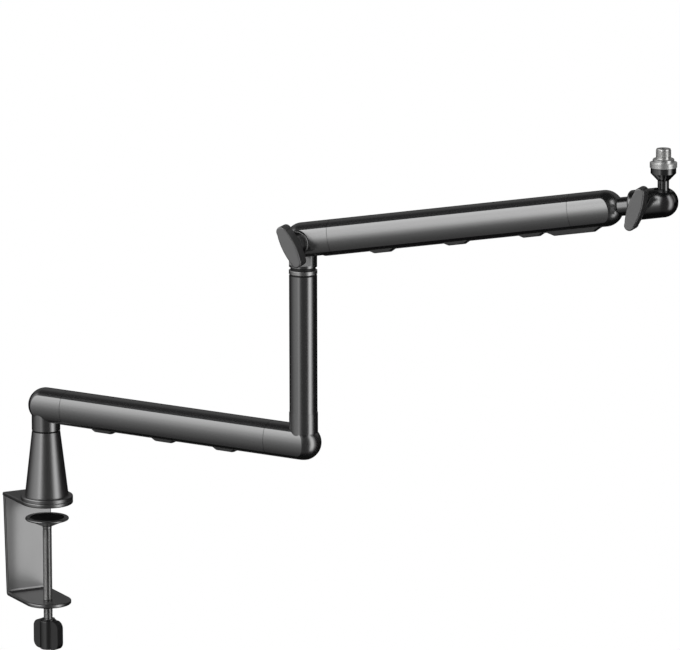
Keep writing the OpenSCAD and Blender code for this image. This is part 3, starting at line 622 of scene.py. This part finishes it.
@dataclass
class BallHead(SubAssembly):
    """The ball head and its microphone thread."""

    finishes: dict[str, Finish] = field(default_factory=lambda: {
        "head_neck": HOUSING, "neck_clip": STEEL, "ball_housing": HOUSING, "ball_seat": WASHER,
        "lock_knob": KNOB, "lock_screw": STEEL, "ball_stud": GLOSS, "thread_flange": PLATED,
    })
    collar_r: float = 11.15
    collar_h: float = 3.8
    collar_bevel: float = 0.8
    thread: Thread = Thread(crest_r=7.9375, depth=0.5, pitch=0.941, steps=48)
    plain_below: float = 1.0
    plain_above: float = 1.2
    top_in: float = 0.2
    top_bevel: float = 0.3
    hole_r: float = 4.7625
    hole_floor: float = 1.0
    mouth_r: float = 5.5
    spigot_r: float = 6.0
    steps: int = 96

    def build(self) -> None:
        """Builds the threaded adapter in place of the plain one."""
        low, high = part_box("thread_adapter")
        bottom, top = low.z / MM, high.z / MM
        flange_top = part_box("thread_flange")[1].z / MM
        collar_top = flange_top + self.collar_h
        core, floor = self.thread.core_r, flange_top + self.hole_floor
        flare = self.mouth_r - self.hole_r
        profile = [(0.0, floor), (self.hole_r, floor), (self.hole_r, top - flare),
                   (self.mouth_r, top), (core - self.top_in, top), (core, top - self.top_bevel),
                   (core, collar_top), (self.collar_r - self.collar_bevel, collar_top),
                   (self.collar_r, collar_top - self.collar_bevel), (self.collar_r, flange_top),
                   (self.spigot_r, flange_top), (self.spigot_r, bottom), (0.0, bottom)]
        bm = turned(profile, self.steps)
        self.thread.add_to(bm, collar_top + self.plain_below, top - self.plain_above)
        centre = (low + high) / 2 / MM
        bmesh.ops.translate(bm, verts=bm.verts, vec=(centre.x, centre.y, 0.0))
        self.place(piece_from(bm, "thread_adapter_cut"), "mic_mount", "thread_chrome", CHROME,
                   "thread_adapter")


# Studio


def heading(azimuth: float, elevation: float) -> Vector:
    """Returns a direction as the camera's angles give it.

    Args:
        azimuth: degrees round Z, with 0 towards minus Y.
        elevation: degrees above level.

    Returns:
        The unit vector.
    """
    turn, rise = math.radians(azimuth), math.radians(elevation)
    return Vector((math.sin(turn) * math.cos(rise), -math.cos(turn) * math.cos(rise),
                   math.sin(rise)))


@dataclass(frozen=True)
class PhotoCamera:
    """The camera that was fitted to the photograph, in millimetres and degrees.

    Its sensor, and its near and far limits in metres, are the camera's own settings.
    """

    place: tuple[float, float, float] = (-3110.97, -6723.05, 1776.88)
    azimuth: float = -27.3
    elevation: float = 12.05
    roll: float = -0.127
    focal_px: float = 7000.0
    image_width: float = 680.0
    sensor: float = 36.0
    near: float = 0.1
    far: float = 100.0

    def basis(self) -> tuple[Vector, Vector, Vector]:
        """Works out which way the camera is turned.

        Returns:
            The camera's right, up and backward vectors.
        """
        az, roll = math.radians(self.azimuth), math.radians(self.roll)
        back = heading(self.azimuth, self.elevation)
        right = Vector((math.cos(az), math.sin(az), 0.0))
        up = back.cross(right)
        cos, sin = math.cos(roll), math.sin(roll)
        return right * cos + up * sin, up * cos - right * sin, back

    def build(self) -> None:
        """Makes the camera and sets it as the scene's own."""
        data = bpy.data.cameras.new("PhotoCamera")
        data.sensor_width = self.sensor
        data.lens = self.focal_px * self.sensor / self.image_width
        data.clip_start, data.clip_end = self.near, self.far
        obj = bpy.data.objects.new("PhotoCamera", data)
        right, up, back = self.basis()
        turn = Matrix((right, up, back)).transposed().to_4x4()
        obj.matrix_world = Matrix.Translation(Vector(self.place) * MM) @ turn
        bpy.context.scene.collection.objects.link(obj)
        bpy.context.scene.camera = obj


@dataclass(frozen=True)
class SoftBox:
    """An area lamp in metres, placed by its direction from the arm.

    The direction is in degrees off the photograph's view and above level. The lamp lights the
    arm but isn't seen in reflections, which the glows make.
    """

    name: str
    side: float
    height: float
    distance: float
    width: float
    tall: float
    radiance: float

    def build(self, centre: Vector, azimuth: float) -> None:
        """Makes the lamp.

        Args:
            centre: the point it is aimed at.
            azimuth: the photograph's azimuth in degrees.
        """
        out = heading(azimuth + self.side, self.height)
        data = bpy.data.lights.new(self.name, "AREA")
        data.shape = "RECTANGLE"
        data.size, data.size_y = self.width, self.tall
        data.energy = self.radiance * math.pi * self.width * self.tall
        obj = bpy.data.objects.new(self.name, data)
        obj.location = centre + out * self.distance
        obj.rotation_mode = "QUATERNION"
        obj.rotation_quaternion = out.to_track_quat("Z", "Y")
        obj.visible_glossy = False
        bpy.context.scene.collection.objects.link(obj)


@dataclass(frozen=True)
class Glow:
    """A bright patch of the studio as reflections see it.

    Both ramps hold pairs of an angle in degrees and a share of the strength: side is measured
    off the photograph's view, positive to the right, and rise is the height above level.
    """

    strength: float
    side: Stops
    rise: Stops
    both_sides: bool = False


LEFT_WALL = Glow(
    strength=1.47,
    side=((-135, 0.0), (-112, 0.35), (-85, 0.8), (-66, 1.0), (-43, 1.0), (-30, 0.55),
          (-16, 0.08), (-4, 0.0)),
    rise=((-70, 0.0), (-45, 0.04), (-25, 0.1), (-12, 0.18), (2, 0.38), (18, 0.72),
          (34, 1.0), (43, 1.1), (52, 0.05), (58, 0.0)),
)
LEFT_SPOT = Glow(
    strength=1.07,
    side=((-48, 0.0), (-40, 1.0), (-33, 1.0), (-24, 0.0)),
    rise=((-22, 0.0), (-8, 0.3), (4, 1.0), (14, 1.0), (26, 0.0)),
)
RIGHT_STRIP = Glow(
    strength=1.24,
    side=((34, 0.0), (44, 0.4), (50, 1.0), (64, 1.0), (74, 0.3), (88, 0.0)),
    rise=((-50, 0.0), (-36, 0.7), (-20, 1.0), (45, 1.0), (58, 0.0)),
)
FRONT_FILL = Glow(
    strength=0.0533,
    side=((60, 1.0), (100, 0.0), (180, 0.0)),
    rise=((-75, 0.0), (-50, 1.0), (35, 1.0), (60, 0.0)),
    both_sides=True,
)
BACK_WALL = Glow(
    strength=0.156,
    side=((100, 0.0), (125, 0.7), (180, 1.0)),
    rise=((-10, 0.0), (4, 0.2), (22, 1.0), (38, 0.9), (52, 0.2), (62, 0.0)),
    both_sides=True,
)
BACK_STRIP = Glow(
    strength=0.222,
    side=((164, 0.0), (172, 1.0), (180, 1.0)),
    rise=((-45, 0.0), (-30, 0.6), (-12, 0.5), (2, 0.0)),
    both_sides=True,
)


@dataclass
class Studio:
    """World, lamps and floor.

    The floor lies a desk's height below the clamp, so its shadow falls outside the picture.
    Glossy rays see a dark surround with the glows, which give the photograph's reflections,
    and not the white ground that the camera sees.
    """

    camera: PhotoCamera = field(default_factory=PhotoCamera)
    base_glow: float = 0.008
    fill: float = 0.3
    floor_z: float = -0.74
    floor_half: float = 8.0
    floor_tone: tuple[float, float, float, float] = (0.9, 0.9, 0.9, 1.0)
    floor_rough: float = 0.9
    glows: tuple[Glow, ...] = (LEFT_WALL, LEFT_SPOT, RIGHT_STRIP, FRONT_FILL, BACK_WALL,
                               BACK_STRIP)
    lamps: tuple[SoftBox, ...] = (
        SoftBox("LeftBox", side=-50.0, height=40.0, distance=2.6,
                width=1.2, tall=1.2, radiance=2.4),
        SoftBox("RightBox", side=57.0, height=20.0, distance=2.6,
                width=0.8, tall=2.0, radiance=2.4),
        SoftBox("BackBox", side=170.0, height=50.0, distance=2.8,
                width=1.6, tall=0.9, radiance=1.6),
    )

    def build(self) -> None:
        """Builds the camera, the world, the floor and the lamps."""
        self.camera.build()
        self._world()
        self._floor()
        low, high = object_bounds()
        for lamp in self.lamps:
            lamp.build((low + high) / 2, self.camera.azimuth)

    def _floor(self) -> None:
        """Builds the pale floor, as white to the camera as the ground and clear from below."""
        mat = bpy.data.materials.new("FloorPale")
        mat.use_nodes = True
        nodes, link = mat.node_tree.nodes, mat.node_tree.links.new
        shader, output = nodes["Principled BSDF"], nodes["Material Output"]
        shader.inputs["Base Color"].default_value = self.floor_tone
        shader.inputs["Roughness"].default_value = self.floor_rough
        white, clear = nodes.new("ShaderNodeEmission"), nodes.new("ShaderNodeBsdfTransparent")
        path, side = nodes.new("ShaderNodeLightPath"), nodes.new("ShaderNodeNewGeometry")
        seen, result = nodes.new("ShaderNodeMixShader"), nodes.new("ShaderNodeMixShader")
        link(path.outputs["Is Camera Ray"], seen.inputs["Fac"])
        link(shader.outputs["BSDF"], seen.inputs[1])
        link(white.outputs["Emission"], seen.inputs[2])
        link(side.outputs["Backfacing"], result.inputs["Fac"])
        link(seen.outputs["Shader"], result.inputs[1])
        link(clear.outputs["BSDF"], result.inputs[2])
        link(result.outputs["Shader"], output.inputs["Surface"])
        bm = bmesh.new()
        bmesh.ops.create_grid(bm, x_segments=1, y_segments=1, size=self.floor_half)
        bmesh.ops.translate(bm, verts=bm.verts, vec=(0.0, 0.0, self.floor_z))
        mesh = bpy.data.meshes.new("floor")
        bm.to_mesh(mesh)
        bm.free()
        mesh.materials.append(mat)
        floor = bpy.data.objects.new("floor", mesh)
        bpy.context.scene.collection.objects.link(floor)
        floor.visible_glossy = False
        floor.visible_diffuse = False
        floor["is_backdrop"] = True

    def _world(self) -> None:
        """White to the camera, even to diffuse rays and patched with glows to glossy ones."""
        world = bpy.data.worlds.new("Studio")
        world.use_nodes = True
        bpy.context.scene.world = world
        nodes, link = world.node_tree.nodes, world.node_tree.links.new
        back = nodes["Background"]
        total = self._glow_sum(nodes, link)
        path = nodes.new("ShaderNodeLightPath")
        first, second = nodes.new("ShaderNodeMix"), nodes.new("ShaderNodeMix")
        first.inputs["A"].default_value = self.fill
        second.inputs["B"].default_value = 1.0
        link(path.outputs["Is Glossy Ray"], first.inputs["Factor"])
        link(total, first.inputs["B"])
        link(path.outputs["Is Camera Ray"], second.inputs["Factor"])
        link(first.outputs["Result"], second.inputs["A"])
        link(second.outputs["Result"], back.inputs["Strength"])
        back.inputs["Color"].default_value = (1.0, 1.0, 1.0, 1.0)

    @staticmethod
    def _math(nodes: Nodes, link: Link, kind: str, first: Socket,
              second: Socket | float | None = None) -> Socket:
        """Adds a math node.

        Args:
            nodes: the world's nodes.
            link: the world's link function.
            kind: the operation.
            first: a socket.
            second: a socket or a number, if the operation has one.

        Returns:
            The value output.
        """
        node = nodes.new("ShaderNodeMath")
        node.operation = kind
        link(first, node.inputs[0])
        if isinstance(second, (int, float)):
            node.inputs[1].default_value = second
        elif second is not None:
            link(second, node.inputs[1])
        return node.outputs[0]

    def _glow_sum(self, nodes: Nodes, link: Link) -> Socket:
        """Adds up the glows as a function of direction.

        Args:
            nodes: the world's nodes.
            link: the world's link function.

        Returns:
            The strength output.
        """
        az = math.radians(self.camera.azimuth)
        way = nodes.new("ShaderNodeTexCoord")
        parts = []
        for axis in ((math.sin(az), -math.cos(az), 0.0), (math.cos(az), math.sin(az), 0.0),
                     (0.0, 0.0, 1.0)):
            dot = nodes.new("ShaderNodeVectorMath")
            dot.operation = "DOT_PRODUCT"
            dot.inputs[1].default_value = axis
            link(way.outputs["Generated"], dot.inputs[0])
            parts.append(dot.outputs["Value"])
        front, right, up = parts
        side = self._math(nodes, link, "DEGREES", self._math(nodes, link, "ARCTAN2", right, front))
        rise = self._math(nodes, link, "DEGREES", self._math(nodes, link, "ARCSINE", up))
        total = None
        for glow in self.glows:
            turn = self._math(nodes, link, "ABSOLUTE", side) if glow.both_sides else side
            across = self._ramp(nodes, link, turn, glow.side, SIDE_LIMIT_DEG)
            upward = self._ramp(nodes, link, rise, glow.rise, RISE_LIMIT_DEG)
            shape = self._math(nodes, link, "MULTIPLY", across, upward)
            patch = self._math(nodes, link, "MULTIPLY", shape, glow.strength)
            total = self._math(nodes, link, "ADD", patch,
                               self.base_glow if total is None else total)
        return total

    @staticmethod
    def _ramp(nodes: Nodes, link: Link, angle: Socket, stops: Stops, limit: float) -> Socket:
        """Turns an angle into a share with soft steps.

        Args:
            nodes: the world's nodes.
            link: the world's link function.
            angle: the angle socket in degrees.
            stops: pairs of an angle and a share.
            limit: the angle at the ends of the ramp.

        Returns:
            The share.
        """
        span = nodes.new("ShaderNodeMapRange")
        span.inputs["From Min"].default_value = -limit
        span.inputs["From Max"].default_value = limit
        ramp = nodes.new("ShaderNodeValToRGB")
        ramp.color_ramp.interpolation = "EASE"
        bits = ramp.color_ramp.elements
        while len(bits) < len(stops):
            bits.new(1.0)
        for bit, (degrees, share) in zip(bits, stops):
            bit.position = (degrees + limit) / (2 * limit)
            bit.color = (share, share, share, 1.0)
        link(angle, span.inputs["Value"])
        link(span.outputs["Result"], ramp.inputs["Fac"])
        return ramp.outputs["Color"]


def main() -> None:
    """Dresses and builds each sub-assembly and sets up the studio."""
    logging.basicConfig(level=logging.INFO, format="%(name)s: %(message)s")
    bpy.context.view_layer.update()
    for assembly in (DeskClamp(), LowerArm(), Riser(), UpperArm(), BallHead()):
        assembly.dress(frame["nodes"])
        assembly.build()
    Studio().build()
    bpy.context.scene.view_settings.view_transform = "Standard"


if __name__ == "__main__":
    main()
